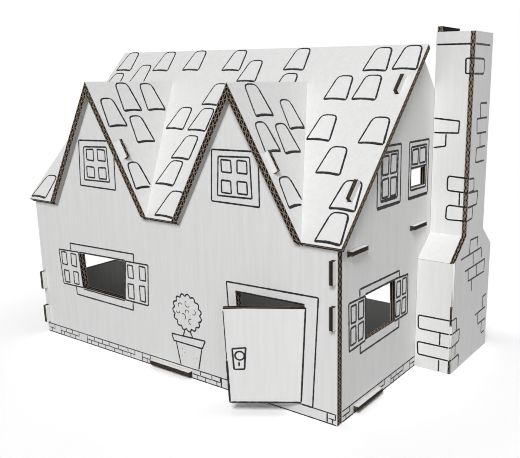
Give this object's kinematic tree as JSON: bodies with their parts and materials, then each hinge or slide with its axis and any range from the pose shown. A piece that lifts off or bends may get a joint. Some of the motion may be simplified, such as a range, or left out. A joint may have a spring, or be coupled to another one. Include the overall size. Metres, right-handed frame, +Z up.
{
  "type": "cardboard playhouse",
  "caption": "Open-backed tabletop playhouse of slotted corrugated board sheets, with a loft, gabled dormers, a folded-out front door and a tall flared chimney beside it.",
  "frame": {"origin": "middle of the whole model's footprint, on the table", "axes": "+Z up, +Y from the printed front wall with the door to the open back, +X towards the chimney side"},
  "size_m": [0.5096, 0.3688, 0.3842],
  "materials": {
    "white_board": "double-wall corrugated board with matte white paper liners and bare brown cut edges",
    "kraft_board": "double-wall corrugated board, matte white paper outside and bare brown kraft inside",
    "black_ink": "matte black line print"
  },
  "bodies": {
    "root": {"floor_panel": "white_board", "front_wall": "white_board", "left_wall": "white_board", "right_wall": "white_board", "loft_floor": "white_board", "main_roof": "white_board", "left_dormer_roof": "white_board", "right_dormer_roof": "white_board", "chimney": "kraft_board"}
  },
  "joints": []
}
